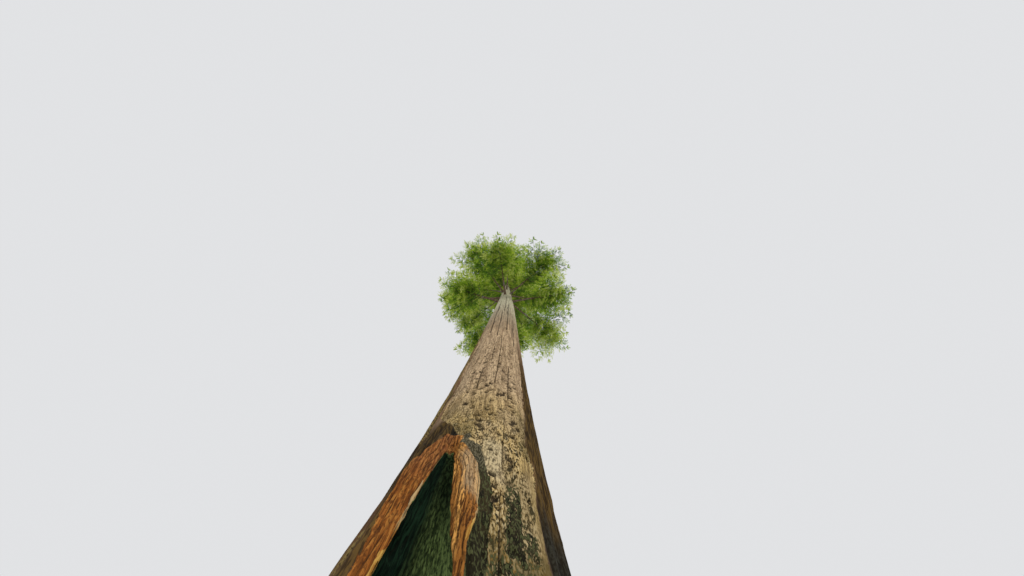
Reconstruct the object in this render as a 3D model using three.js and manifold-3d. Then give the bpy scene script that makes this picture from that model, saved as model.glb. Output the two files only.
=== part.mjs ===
// An old coast redwood. A straight trunk flares into root buttresses at the ground, has a fire
// hollow between two rolls of healed bark at its foot, stays bare for the lower part of its height,
// and runs on through a narrow crown of boughs that carry drooping sprays of needles.
// Millimetres, +Z up. The living tree is 80 m tall and everything here is at half its size.
// The origin is in the flat cut at ground level, under the trunk, and the hollow faces -Y.
import * as THREE from "three";
import { mergeVertices } from "three/addons/utils/BufferGeometryUtils.js";
import Module from "manifold-3d";

const wasm = await Module();
wasm.setup();

// Driving sizes of the trunk
const HEIGHT = 40000; // ground to the highest tip of the crown
const TRUNK_TOP = 39250; // where the woody trunk ends inside the top foliage
const STEM_RADIUS = 540; // radius that the long taper starts from
const TAPER_POWER = 1.3;
const FLARE = 460; // what the flare adds to the radius at the ground
const FLARE_FADE = 2100; // height over which the flare falls to about a third
const ROOT_WAVE = 0.13; // how far the root buttresses stand out at the ground, as a share
const ROOT_FADE = 1100;
const ROOT_LOBES = [
  { count: 5, share: 0.6, phase: 1.1 },
  { count: 8, share: 0.4, phase: 0.4 },
];
const FLUTE_WAVE = 0.025; // the shallow flutes that run on up the trunk
const FLUTE_FADE = 9000;
const FLUTES = { count: 11, phase: 2.0, twist: 6000 };
const SWAY = { x: 90, y: 63 }; // how far the middle of the trunk wanders, most at the top
const SWAY_PACE = { x: 7000, y: 9500 }; // height over which it wanders by a radian

// Driving sizes of the fire hollow and its rolls of bark
const HOLLOW_TURN = -7.5; // degrees from -Y towards +X
const HOLLOW_TOP = 3320; // height of the pointed top of the mouth
const MOUTH_HALF = 21.5; // half the mouth's width at the ground, in degrees of the trunk
const MOUTH_POWER = 0.6;
const MOUTH_SWING = { low: 2.8, high: -2.2, from: 1900, to: 2950 }; // its middle, in degrees
const SEAM_HALF = 2; // half the closed seam above the mouth, in degrees
const SEAM_SPREAD = 36; // what the seam spreads to, higher up, where it is plain bark
const SEAM_LOST = 10000; // height where it has spread
const HOLLOW_DEPTH = 640; // from the mouth to the back wall, at the ground
const UNDERCUT = 38; // degrees by which the side walls bulge past the mouth
const UNDERCUT_GROWS = 3; // how fast the undercut grows from the hollow's top down
const ROLL_FADE = 950; // height over which the rolls melt into the trunk above the mouth
const ROLLS = [
  { side: 1, proud: 62, width: 5, centre: 6 }, // towards +X
  { side: -1, proud: 95, width: 8.5, centre: 11 }, // towards -X
];

// Driving sizes of the crown
const CROWN_FOOT = 18200; // height at which the lowest bough leaves the trunk
const CROWN_HEAD = 38500; // height at which the highest side branch leaves it
const CROWN_RADIUS = 3500; // greatest reach from the trunk's middle
const CROWN_ROUNDING = { least: 0.62, over: 0.18 }; // its reach at its foot, and how soon it is full
const CROWN_POINT = 0.62; // power by which it draws in to its head
const LIMBS = 41; // branches round the trunk, from the lowest to the highest
const LIMB_CROWDING = 0.93; // power by which they stand a little closer with height
const BOUGHS = 16; // how many of them, from below, have a bare bough before their foliage
const FIRST_TURN = 69; // degrees from +X of the lowest bough
const GOLDEN_TURN = 137.508; // degrees from each branch to the next
const TURN_SPREAD = 16; // degrees within which a branch's turn differs from that
const REACH_SPREAD = { least: 0.84, more: 0.32 }; // a limb's reach, as a share of the crown's
const RISE = { low: -0.08, high: 0.6, spread: 0.16 }; // slope at the trunk, at foot and head
const SAG = { low: 0.3, high: 0.06 }; // how far a limb's tip sags, as a share of its run
const BARE_SHARE = 0.42; // how much of the lowest boughs' reach is bare
const BARE_LEAST = 0.72; // what is left of that at the highest bough
const LIMB_RADIUS = { least: 22, share: 0.1 }; // a limb's radius, with a share of the trunk's
const BOUGH_TAPER = 0.52; // a bough's radius at its tip, as a share of that at the trunk
const LEADER = { x: 20, y: -15, radius: 13 }; // its lean over its own height, and its radius
const GAP = 0.3; // clear space between two touching pieces

// Driving sizes of the foliage
const STEM_END = 0.8; // where a mass's stem ends in its last spray, as a share of the foliage
const STEM_STEPS = 3;
const STEM_TAPER = 0.4;
const STEM_SHARE = 0.8; // radius of a stem that leaves the trunk, as a share of its limb's
const TWIGS = 6; // twigs on each mass of foliage
const FIRST_TWIG = 0.7; // where the first twig leaves, in steps from one twig to the next
const TWIG_LEAN = 54; // degrees between a twig and the stem that it leaves
const LEAN_SPREAD = 16;
const TWIG_HANG = { least: -0.3, most: 1.2 }; // how steeply a twig hangs
const TWIG_LENGTH = { least: 360, share: 0.68 }; // with a share of the mass's own length
const TWIG_SHARES = { least: 0.55, more: 0.5, from: 0.25, to: 0.9 }; // an arch along the stem
const TWIG_WOOD = 0.22; // how much of a twig is bare before its spray
const TWIG_RADIUS = { root: 0.6, tip: 0.42 }; // as shares of its stem's radius
const SPRAY_WIDTH = { twig: 0.7, tip: 0.8 }; // a twig's by its length, the last spray's by its own
const TILT_SPREAD = 1.5; // radians within which the sprays turn about their twigs
const SHORTER = [1, 0.8, 0.62, 0.46]; // the lengths that a twig is tried at, to fit its space

const radians = THREE.MathUtils.degToRad;
const smoothstep = THREE.MathUtils.smoothstep;
const UP = new THREE.Vector3(0, 0, 1);

const bark = new THREE.MeshStandardMaterial({ name: "bark", color: 0x8a6a48, roughness: 0.95 });
const limbBark = new THREE.MeshStandardMaterial({ name: "limb_bark", color: 0x6f5138, roughness: 0.9 });
const needles = new THREE.MeshStandardMaterial({ name: "needles", color: 0x6f8f2c, roughness: 0.7 });

// A fixed share from 0 to 1 for each pair of numbers, so that the same tree grows every time. The
// first is the limb's number, the second tells what the share is for.
function chance(i, j) {
  const value = Math.sin(i * 127.1 + j * 311.7) * 43758.5453;
  return value - Math.floor(value);
}
const LOT = { turn: 1, reach: 2, rise: 3, lean: 10, hang: 20, tilt: 30 };

function mix(a, b, share) {
  return a + (b - a) * share;
}

function geometryOf(points, index) {
  const geometry = new THREE.BufferGeometry().setFromPoints(points);
  geometry.setIndex(index);
  return geometry;
}

// Triangles between rings of equally many points, seen from outside when the rings run
// anticlockwise about the way from the first ring to the last.
function sides(rings) {
  const count = rings[0].length;
  const index = [];
  for (let k = 0; k + 1 < rings.length; k++) {
    for (let i = 0; i < count; i++) {
      const a = k * count + i;
      const b = k * count + ((i + 1) % count);
      index.push(a, b, b + count, a, b + count, a + count);
    }
  }
  return index;
}

// Triangles over a level ring of any outline.
function levelCap(ring) {
  const outline = ring.map(({ x, y }) => new THREE.Vector2(x, y));
  return THREE.ShapeUtils.triangulateShape(outline, []);
}

// Triangles over a convex ring.
function fan(ring) {
  return ring.slice(2).map((_, i) => [0, i + 1, i + 2]);
}

// A closed body from rings, with a cap over the first and over the last.
function skin(rings, cap) {
  const last = (rings.length - 1) * rings[0].length;
  const index = sides(rings);
  for (const [a, b, c] of cap(rings[0])) index.push(c, b, a);
  for (const [a, b, c] of cap(rings.at(-1))) index.push(last + a, last + b, last + c);
  return geometryOf(rings.flat(), index);
}

function toSolid(geometry) {
  const NEAR = 1e-3; // points closer than this are one
  const merged = mergeVertices(geometry, NEAR);
  return new wasm.Manifold(
    new wasm.Mesh({
      numProp: 3,
      vertProperties: new Float32Array(merged.attributes.position.array),
      triVerts: new Uint32Array(merged.index.array),
    }),
  );
}

// The largest body of a solid as a geometry, so that a scrap left by a cut is dropped.
function toGeometry(solid) {
  const bodies = solid.decompose().sort((a, b) => b.volume() - a.volume());
  const mesh = bodies[0].getMesh();
  const geometry = new THREE.BufferGeometry();
  geometry.setAttribute("position", new THREE.Float32BufferAttribute(mesh.vertProperties, 3));
  geometry.setIndex(new THREE.Uint32BufferAttribute(mesh.triVerts, 1));
  return geometry;
}

// The trunk

// The middle of the trunk at a height: it wanders a little and stands upright as a whole.
function trunkAxis(z) {
  const share = z / HEIGHT;
  const x = SWAY.x * Math.sin(z / SWAY_PACE.x) * share;
  const y = SWAY.y * Math.sin(z / SWAY_PACE.y) * share;
  return new THREE.Vector3(x, y, z);
}

// Radius at a height, and at an angle in radians from the line that the hollow is turned to.
function trunkRadius(z, angle) {
  const taper = STEM_RADIUS * (1 - (z / HEIGHT) ** TAPER_POWER);
  const flare = FLARE * Math.exp(-z / FLARE_FADE);
  const [wide, slim] = ROOT_LOBES.map(({ count, share, phase }) => share * Math.cos(count * angle + phase));
  const flutes = Math.cos(FLUTES.count * angle + FLUTES.phase + z / FLUTES.twist);
  const wave = 1 + ROOT_WAVE * (wide + slim) * Math.exp(-z / ROOT_FADE);
  return (taper + flare) * wave * (1 + FLUTE_WAVE * flutes * Math.exp(-z / FLUTE_FADE));
}

// How much of the hollow is left at a height: 1 at the ground, 0 at the top of its mouth.
function hollowShare(z) {
  return Math.max(0, 1 - z / HOLLOW_TOP);
}

// The angle of the mouth's middle, which swings over from one side to the other with height.
function mouthMiddle(z) {
  const { low, high, from, to } = MOUTH_SWING;
  return radians(mix(low, high, smoothstep(z, from, to)));
}

// Half the mouth's width in radians. Above the mouth it is a narrow seam, which spreads out again
// higher up, where the bark is plain.
function mouthHalf(z) {
  const mouth = (MOUTH_HALF - SEAM_HALF) * hollowShare(z) ** MOUTH_POWER;
  const spread = (SEAM_SPREAD - SEAM_HALF) * smoothstep(z, HOLLOW_TOP, SEAM_LOST);
  return radians(SEAM_HALF + mouth + spread);
}

// Radius with the rolls of bark on both sides of the mouth, which melt away above it. The angle is
// from the mouth's middle.
function rolledRadius(z, angle) {
  const strength = smoothstep(HOLLOW_TOP + ROLL_FADE - z, 0, ROLL_FADE);
  const swell = ROLLS.map(({ side, proud, width, centre }) => {
    const away = (THREE.MathUtils.radToDeg(side * angle - mouthHalf(z)) - centre) / width;
    return proud * Math.exp(-away * away);
  });
  return trunkRadius(z, angle + mouthMiddle(z)) + strength * (swell[0] + swell[1]);
}

// One level section of the trunk, grown outwards by a little: round the outside from one edge of
// the mouth to the other, then back through the hollow as a horseshoe. Above the mouth it goes
// back along the closed bark.
function trunkRing(z, grow) {
  const OUTSIDE = 32; // steps round the outside
  const INSIDE = 9; // steps through the hollow
  const CROWDED = 0.7; // how much closer the points stand beside the mouth
  const turned = radians(HOLLOW_TURN) + mouthMiddle(z);
  const out = new THREE.Vector3(Math.sin(turned), -Math.cos(turned), 0);
  const across = new THREE.Vector3(Math.cos(turned), Math.sin(turned), 0);
  const place = (forward, sideways) => {
    return trunkAxis(z).addScaledVector(out, forward).addScaledVector(across, sideways);
  };
  const onBark = (angle) => {
    const radius = rolledRadius(z, angle) + grow;
    return place(radius * Math.cos(angle), radius * Math.sin(angle));
  };

  const half = mouthHalf(z);
  const ring = [];
  for (let i = 0; i <= OUTSIDE; i++) {
    const s = i / OUTSIDE;
    const eased = s - (CROWDED * Math.sin(2 * Math.PI * s)) / (2 * Math.PI);
    const angle = mix(half, 2 * Math.PI - half, eased);
    ring.push(onBark(angle > Math.PI ? angle - 2 * Math.PI : angle));
  }

  const share = hollowShare(z);
  const edges = [-half, half].map((angle) => rolledRadius(z, angle) + grow);
  const depth = HOLLOW_DEPTH * Math.sqrt(share);
  const sweep = Math.PI / 2 + radians(UNDERCUT) * Math.min(1, UNDERCUT_GROWS * share);
  for (let i = 1; i < INSIDE; i++) {
    const bow = mix(-sweep, sweep, i / INSIDE);
    const edge = mix(...edges, i / INSIDE);
    const inward = (depth * (Math.cos(bow) - Math.cos(sweep))) / (1 - Math.cos(sweep));
    const sideways = (edge * Math.sin(half) * Math.sin(bow)) / Math.sin(sweep);
    const carved = place(edge * Math.cos(half) - inward, sideways);
    ring.push(share > 0 ? carved : onBark(mix(-half, half, i / INSIDE)));
  }
  return ring;
}

// The whole trunk, with its rings even through the foot and further apart with height.
function trunkGeometry(grow) {
  const FOOT = 4250;
  const FOOT_STEPS = 17;
  const HIGH_STEPS = 10;
  const HIGH_POWER = 1.25;
  const rings = [];
  for (let i = 0; i < FOOT_STEPS; i++) rings.push(trunkRing((FOOT * i) / FOOT_STEPS, grow));
  for (let i = 0; i <= HIGH_STEPS; i++) {
    rings.push(trunkRing(mix(FOOT, TRUNK_TOP, (i / HIGH_STEPS) ** HIGH_POWER), grow));
  }
  return skin(rings, levelCap);
}

// The limbs

// Greatest reach of the crown at a height: rounded at its foot, drawn in to a point at its head.
function crownReach(z) {
  const { least, over } = CROWN_ROUNDING;
  const share = (z - CROWN_FOOT) / (HEIGHT - CROWN_FOOT);
  return CROWN_RADIUS * mix(least, 1, Math.min(1, share / over)) * (1 - share) ** CROWN_POINT;
}

// A limb's middle line: it leaves the trunk at its own rise, sags, and levels out at its tip.
function limbCurve(z, turn, reach, rise, sag) {
  const INSET = 0.8; // where in the trunk the line starts, as a share of the trunk's radius
  const BENDS = [
    { along: 0, risen: 0, sagged: 0 },
    { along: 0.33, risen: 0.36, sagged: 0 },
    { along: 0.67, risen: 0.68, sagged: 0.7 },
    { along: 1, risen: 0.8, sagged: 1 },
  ];
  const outward = new THREE.Vector3(Math.cos(turn), Math.sin(turn), 0);
  const inside = INSET * trunkRadius(z, Math.PI);
  const run = reach - inside;
  const points = BENDS.map(({ along, risen, sagged }) => {
    const point = trunkAxis(z).addScaledVector(outward, inside + run * along);
    return point.addScaledVector(UP, run * (risen * rise - sagged * sag));
  });
  return new THREE.CubicBezierCurve3(...points);
}

// One limb: its middle line, how much of it is bare, its radius at the trunk, and how its twigs
// stand round it, here to the left and the right by turns.
function limb(i) {
  const share = i / (LIMBS - 1);
  const z = mix(CROWN_FOOT, CROWN_HEAD, share ** LIMB_CROWDING);
  const turn = FIRST_TURN + GOLDEN_TURN * i + TURN_SPREAD * (chance(i, LOT.turn) - 0.5);
  const reach = crownReach(z) * (REACH_SPREAD.least + REACH_SPREAD.more * chance(i, LOT.reach));
  const rise = mix(RISE.low, RISE.high, share) + RISE.spread * (chance(i, LOT.rise) - 0.5);
  const sag = mix(SAG.low, SAG.high, share);
  return {
    i,
    curve: limbCurve(z, radians(turn), reach, rise, sag),
    bare: i < BOUGHS ? BARE_SHARE * mix(1, BARE_LEAST, i / BOUGHS) : 0,
    radius: LIMB_RADIUS.least + LIMB_RADIUS.share * trunkRadius(z, 0),
    whorl: Math.PI,
  };
}

// The leader that goes on from the top of the trunk, with its twigs all round it.
function leader() {
  const foot = trunkAxis(TRUNK_TOP + GAP);
  const tip = new THREE.Vector3(foot.x + LEADER.x, foot.y + LEADER.y, HEIGHT);
  const curve = new THREE.LineCurve3(foot, tip);
  return { i: LIMBS, curve, bare: 0, radius: LEADER.radius, whorl: radians(GOLDEN_TURN) };
}

// Two directions square to a line: one level, the other as near to upright as can be.
function acrossAndUp(along) {
  const LEAST = 0.1; // below this the line is as good as upright
  const level = new THREE.Vector3().crossVectors(along, UP);
  const across = level.length() > LEAST ? level.normalize() : new THREE.Vector3(1, 0, 0);
  return [across, new THREE.Vector3().crossVectors(across, along).normalize()];
}

// Rings of a tapering stem from one part of a curve to another, turned about it by an angle. The
// first ring may be moved on a little, to leave a gap.
function stemRings(curve, [from, to], [radiusFrom, radiusTo], count, steps, turned = 0, lead = 0) {
  return Array.from({ length: steps + 1 }, (_, k) => {
    const t = mix(from, to, k / steps);
    const along = curve.getTangent(t);
    const [across, upright] = acrossAndUp(along);
    const centre = curve.getPoint(t).addScaledVector(along, k === 0 ? lead : 0);
    const radius = mix(radiusFrom, radiusTo, k / steps);
    return Array.from({ length: count }, (_, i) => {
      const angle = turned + (2 * Math.PI * i) / count;
      const point = centre.clone().addScaledVector(upright, radius * Math.cos(angle));
      return point.addScaledVector(across, radius * Math.sin(angle));
    });
  });
}

// The foliage

// A three-sided stem that ends in a flat, toothed spray of needles. The spray's outline starts at
// the stem's two lower edges, and is joined to one low ridge above and one below.
function sprayedStem(rings, along, turned, length, width) {
  const TEETH = [
    [0.26, 0.5],
    [0.42, 0.27],
    [0.64, 0.4],
  ];
  const RIDGE = 0.36;
  const THICK = 0.02; // half the thickness at the ridge, as a share of the length
  const DROOP = 0.2; // how far a level spray's tip hangs, as a share of the length
  const [top, right, left] = rings.at(-1);
  const middle = top.clone().add(right).add(left).divideScalar(3);
  const [across, upright] = acrossAndUp(along);
  const side = across.clone().applyAxisAngle(along, turned);
  const up = upright.clone().applyAxisAngle(along, turned);
  const put = (u, v, lift) => {
    const point = middle.clone().addScaledVector(along, u * length).addScaledVector(side, v * width);
    const hang = DROOP * u * u * length * (1 - along.z * along.z);
    return point.addScaledVector(up, lift * length).addScaledVector(UP, -hang);
  };
  const outline = [
    ...TEETH.map(([u, v]) => put(u, v, 0)),
    put(1, 0, 0),
    ...TEETH.map(([u, v]) => put(u, -v, 0)).reverse(),
  ];

  const points = [...rings.flat(), ...outline, put(RIDGE, 0, THICK), put(RIDGE, 0, -THICK)];
  const neck = 3 * (rings.length - 1);
  const first = neck + 3;
  const ridge = points.length - 2;
  const edge = [neck + 1, ...outline.map((_, i) => first + i), neck + 2];
  const index = [...sides(rings), 2, 1, 0, neck + 2, neck, ridge, neck, neck + 1, ridge];
  for (let i = 0; i + 1 < edge.length; i++) {
    index.push(edge[i], edge[i + 1], ridge, edge[i + 1], edge[i], ridge + 1);
  }
  index.push(neck + 1, neck + 2, ridge + 1);
  return { geometry: geometryOf(points, index), outline };
}

// A point on the straight stretches between the rings of a mass's stem.
function onStem({ curve, bare }, share) {
  const step = Math.min(STEM_STEPS - 1, Math.floor(share * STEM_STEPS));
  const ringAt = (k) => curve.getPoint(mix(bare, 1, (STEM_END * k) / STEM_STEPS));
  return ringAt(step).lerp(ringAt(step + 1), share * STEM_STEPS - step);
}

// The twigs of one mass leave its stem at even steps, each with a spray at its end. They are
// longest near the middle of the stem, and hang a little.
function twig(limb, stemRadius, k, grown) {
  const { i, curve, bare, whorl } = limb;
  const share = (k + FIRST_TWIG) / TWIGS;
  const root = onStem(limb, share);
  const along = curve.getTangent(mix(bare, 1, STEM_END * share));
  const lean = radians(TWIG_LEAN + LEAN_SPREAD * (chance(i, LOT.lean + k) - 0.5));
  const hang = mix(TWIG_HANG.least, TWIG_HANG.most, chance(i, LOT.hang + k));
  const [across] = acrossAndUp(along);
  const direction = along.clone().multiplyScalar(Math.cos(lean));
  direction.addScaledVector(across.applyAxisAngle(along, k * whorl), Math.sin(lean));
  direction.addScaledVector(UP, -hang).normalize();

  const size = TWIG_LENGTH.least + TWIG_LENGTH.share * curve.getPoint(bare).distanceTo(curve.getPoint(1));
  const arch = Math.sin(Math.PI * mix(TWIG_SHARES.from, TWIG_SHARES.to, share));
  const length = grown * size * (TWIG_SHARES.least + TWIG_SHARES.more * arch);
  const wood = root.clone().addScaledVector(direction, TWIG_WOOD * length);
  const tilt = TILT_SPREAD * (chance(i, LOT.tilt + k) - 0.5);
  const thick = stemRadius * mix(1, STEM_TAPER, share);
  const radii = [TWIG_RADIUS.root * thick, TWIG_RADIUS.tip * thick];
  const rings = stemRings(new THREE.LineCurve3(root, wood), [0, 1], radii, 3, 1, tilt);
  return sprayedStem(rings, direction, tilt, (1 - TWIG_WOOD) * length, SPRAY_WIDTH.twig * length);
}

const limbs = Array.from({ length: LIMBS }, (_, i) => limb(i));
const allLimbs = [...limbs, leader()];

// Points along every limb, by which each piece of foliage is told whose space it is in.
const LIMB_STEPS = 12;
const limbPoints = allLimbs.map(({ curve }) => curve.getPoints(LIMB_STEPS));

function nearest(point, points) {
  return Math.min(...points.map((p) => p.distanceTo(point)));
}

// True if a point is nearer to its own limb than to any other, clear of the trunk, and lower than
// the crown's top.
function inOwnSpace(point, own) {
  const SPARE = 45;
  const CLEAR_OF_TRUNK = 60;
  const mine = nearest(point, limbPoints[own]) + SPARE;
  if (limbPoints.some((points, i) => i !== own && nearest(point, points) < mine)) return false;
  if (point.z > TRUNK_TOP) return point.z < HEIGHT - SPARE;
  const axis = trunkAxis(point.z);
  return Math.hypot(point.x - axis.x, point.y - axis.y) > trunkRadius(point.z, 0) + CLEAR_OF_TRUNK;
}

// One mass of foliage: a stem with a spray at its tip, and its twigs. A twig that would leave the
// mass's space is grown shorter, or left out.
function foliageSolid(limb) {
  const { i, curve, bare, radius } = limb;
  const thick = (bare > 0 ? BOUGH_TAPER : STEM_SHARE) * radius;
  const end = mix(bare, 1, STEM_END);
  const lead = bare > 0 ? GAP : 0;
  const rings = stemRings(curve, [bare, end], [thick, STEM_TAPER * thick], 3, STEM_STEPS, 0, lead);
  const last = curve.getPoint(1).distanceTo(curve.getPoint(end));
  const tip = sprayedStem(rings, curve.getTangent(end), 0, last, SPRAY_WIDTH.tip * last);
  let solid = toSolid(tip.geometry);
  for (let k = 0; k < TWIGS; k++) {
    const grown = SHORTER.map((share) => twig(limb, thick, k, share));
    const fitting = grown.find(({ outline }) => outline.every((point) => inOwnSpace(point, i)));
    if (fitting) solid = solid.add(toSolid(fitting.geometry));
  }
  return solid;
}

// The bare inner part of a limb, as one tapering piece.
function boughSolid({ curve, bare, radius }) {
  const SIDES = 6;
  const STEPS = 3;
  const rings = stemRings(curve, [0, bare], [radius, BOUGH_TAPER * radius], SIDES, STEPS);
  return toSolid(skin(rings, fan));
}

const tree = new THREE.Group();

function addPiece(name, geometry, material) {
  const mesh = new THREE.Mesh(geometry, material);
  mesh.name = name;
  tree.add(mesh);
}

const trunkWithGap = toSolid(trunkGeometry(GAP));
addPiece("trunk", trunkGeometry(0), bark);
for (const limb of limbs) {
  const number = String(limb.i + 1).padStart(2, "0");
  const foliage = foliageSolid(limb);
  if (limb.bare > 0) {
    addPiece(`bough_${number}`, toGeometry(boughSolid(limb).subtract(trunkWithGap)), limbBark);
    addPiece(`foliage_${number}`, toGeometry(foliage), needles);
  } else {
    addPiece(`foliage_${number}`, toGeometry(foliage.subtract(trunkWithGap)), needles);
  }
}
addPiece("foliage_top", toGeometry(foliageSolid(allLimbs.at(-1))), needles);

export default tree;
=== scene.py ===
# An old coast redwood at half its living size, with a fire hollow at its foot. Metres, +Z up.
# The origin is in the flat cut at ground level and the hollow faces -Y. Every surface is worked
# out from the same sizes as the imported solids, and carried on to the relief and the finer twigs.
import itertools
import math
from types import SimpleNamespace

import bpy
import numpy as np
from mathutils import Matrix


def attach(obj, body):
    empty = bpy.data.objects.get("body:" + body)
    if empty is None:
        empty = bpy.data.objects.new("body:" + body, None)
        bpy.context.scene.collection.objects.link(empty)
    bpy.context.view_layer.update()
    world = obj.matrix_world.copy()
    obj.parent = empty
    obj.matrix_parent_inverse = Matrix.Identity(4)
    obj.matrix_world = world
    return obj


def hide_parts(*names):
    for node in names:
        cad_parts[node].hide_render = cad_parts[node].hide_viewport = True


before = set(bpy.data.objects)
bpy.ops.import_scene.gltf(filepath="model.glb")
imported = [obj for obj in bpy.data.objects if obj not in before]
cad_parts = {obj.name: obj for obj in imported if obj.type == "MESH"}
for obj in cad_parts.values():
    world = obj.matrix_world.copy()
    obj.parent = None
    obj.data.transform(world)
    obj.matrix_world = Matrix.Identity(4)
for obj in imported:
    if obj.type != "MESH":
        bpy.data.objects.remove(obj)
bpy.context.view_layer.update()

# The trunk's form
# One living stem, 39 m from the flat cut to the leader. It flares into root buttresses, tapers
# evenly, and holds a tall fire hollow between two rolls of bark that grew in over the scar.
HEIGHT = 40.0
TRUNK_TOP = 39.25
STEM_RADIUS = 0.54  # at the ground, without the flare
TAPER_POWER = 1.3
FLARE = 0.46  # what the flare adds to the radius at the ground
FLARE_FADE = 2.1  # metres up in which it falls to about a third
ROOT_WAVE = 0.13
ROOT_WAVES = ((5, 1.1, 0.6), (8, 0.4, 0.4))  # how many, where they start, and their share
ROOT_FADE = 1.1
FLUTES = 11
FLUTE_WAVE = 0.025
FLUTE_FADE = 9.0
SWAY = 0.09
HOLLOW_TURN = math.radians(-7.5)
HOLLOW_TOP = 3.32  # the height of the mouth's point
MOUTH_HALF = 21.5  # half the mouth's width at the ground, in degrees
MOUTH_POWER = 0.6
MOUTH_SWING = (2.8, -2.2, 1.9, 2.95)  # degrees low down and high up, and the heights between them
SEAM_HALF = 2.0  # half the seam's width where the mouth closes, in degrees
SEAM_SPREAD = 36.0  # the same higher up, where there is nothing left of the seam
SEAM_LOST = 10.0
HOLLOW_DEPTH = 0.64
UNDERCUT = math.radians(38)
UNDERCUT_GROWS = 3
ROLL_FADE = 0.95
ROLLS = ((1, 0.062, 5.0, 6.0), (-1, 0.095, 8.5, 11.0))  # side, proud, width and centre in degrees
OUTSIDE_COLUMNS = 430  # points of a ring round the outside
HOLLOW_COLUMNS = 90
CROWDED = 0.5  # how much closer the columns stand beside the mouth


def smoothstep(value, low, high):
    """0 up to low, 1 from high on, and an even S between them."""
    share = np.clip((value - low) / (high - low), 0, 1)
    return share * share * (3 - 2 * share)


def trunk_axis(z):
    """x and y of the trunk's middle: one slow wave each way, growing with the height."""
    return SWAY * np.sin(z / 7) * z / HEIGHT, 0.7 * SWAY * np.sin(z / 9.5) * z / HEIGHT


def trunk_radius(z, angle):
    """An even taper and a flare that fades with height, times two waves of root buttresses that
    fade sooner and one of shallow flutes that fades later. The angle is from the hollow's middle."""
    taper = STEM_RADIUS * (1 - (z / HEIGHT) ** TAPER_POWER)
    roots = sum(share * np.cos(count * angle + start) for count, start, share in ROOT_WAVES)
    wave = 1 + ROOT_WAVE * roots * np.exp(-z / ROOT_FADE)
    flutes = 1 + FLUTE_WAVE * np.cos(FLUTES * angle + 2.0 + z / 6) * np.exp(-z / FLUTE_FADE)
    return (taper + FLARE * np.exp(-z / FLARE_FADE)) * wave * flutes


def hollow_share(z):
    """1 at the ground and 0 at the pointed top of the hollow's mouth."""
    return np.maximum(0, 1 - z / HOLLOW_TOP)


def mouth_half(z):
    """Half the mouth's width as an angle: widest at the ground, drawn in to a closed seam above
    the mouth, and spread again higher up, where the bark is plain."""
    mouth = (MOUTH_HALF - SEAM_HALF) * hollow_share(z) ** MOUTH_POWER
    spread = (SEAM_SPREAD - SEAM_HALF) * smoothstep(z, HOLLOW_TOP, SEAM_LOST)
    return np.radians(SEAM_HALF + mouth + spread)


def mouth_middle(z):
    """How far the mouth's middle is turned from the trunk's front, as the mouth leans leftwards."""
    low, high, start, end = MOUTH_SWING
    return np.radians(low + (high - low) * smoothstep(z, start, end))


def rolled_radius(z, angle):
    """The trunk's radius with a bell-shaped roll of bark on each side of the mouth. The angle is
    from the mouth's own middle."""
    strength = smoothstep(HOLLOW_TOP + ROLL_FADE - z, 0, ROLL_FADE)
    radius = trunk_radius(z, angle + mouth_middle(z))
    for side, proud, width, centre in ROLLS:
        away = (np.degrees(side * angle - mouth_half(z)) - centre) / width
        radius = radius + strength * proud * np.exp(-away * away)
    return radius


def trunk_grid(heights):
    """Level rings at the heights. Each goes round the outside from one edge of the mouth to the
    other, then back through the hollow as a horseshoe, or along the bark where there is no hollow.
    Returns the points, their angles, and their place in the hollow: 0 outside, 1 at its back."""
    z = heights[:, None]
    half = mouth_half(z)
    step = np.linspace(0, 1, OUTSIDE_COLUMNS + 1)
    eased = step - CROWDED * np.sin(2 * np.pi * step) / (2 * np.pi)
    outside = half + (2 * np.pi - 2 * half) * eased
    outside = np.where(outside > np.pi, outside - 2 * np.pi, outside)
    through = np.arange(1, HOLLOW_COLUMNS) / HOLLOW_COLUMNS
    angle = np.hstack([outside, half * (2 * through - 1)])
    radius = rolled_radius(z, angle)
    forward, sideways = radius * np.cos(angle), radius * np.sin(angle)

    share = hollow_share(z)
    sweep = np.pi / 2 + UNDERCUT * np.minimum(1, UNDERCUT_GROWS * share)
    bow = sweep * (2 * through - 1)
    left, right = rolled_radius(z, -half), rolled_radius(z, half)
    edge = left + (right - left) * through
    depth = HOLLOW_DEPTH * np.sqrt(share)
    inward = depth * (np.cos(bow) - np.cos(sweep)) / (1 - np.cos(sweep))
    first = OUTSIDE_COLUMNS + 1
    is_open = np.broadcast_to(share > 0, bow.shape)
    forward[:, first:] = np.where(is_open, edge * np.cos(half) - inward, forward[:, first:])
    carved = edge * np.sin(half) * np.sin(bow) / np.sin(sweep)
    sideways[:, first:] = np.where(is_open, carved, sideways[:, first:])

    axis_x, axis_y = trunk_axis(z)
    facing = HOLLOW_TURN + mouth_middle(z)
    x = axis_x + forward * np.sin(facing) + sideways * np.cos(facing)
    y = axis_y - forward * np.cos(facing) + sideways * np.sin(facing)
    points = np.stack([x, y, np.broadcast_to(z, x.shape)], -1)
    deep = np.zeros(angle.shape)
    deep[:, first:] = np.where(is_open, 1 - np.abs(2 * through - 1), 0)
    return points, angle, deep


# The trunk's skin
# Stringy furrowed bark all round, but the side with the hollow lost its bark in a fire: there the
# wood is bare, grey-tan, pitted and cracked, with charred bands. A roll of healed bark stands on
# each side of the hollow, whose burnt ribs are green, with painted shade near black on the left.
RIDGES = 46  # ridges of bark round the trunk
WAVY_RIDGES = 29  # a second, wilder set that parts the first
ROPE_WIDTH = 2.2  # of the ropes of bark on the rolls, in degrees
RIBS = 16  # ribs of burnt wood from each edge of the hollow to its back
FULL_GIRTH = 0.5  # the trunk's radius from which its ridges have their full depth
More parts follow.
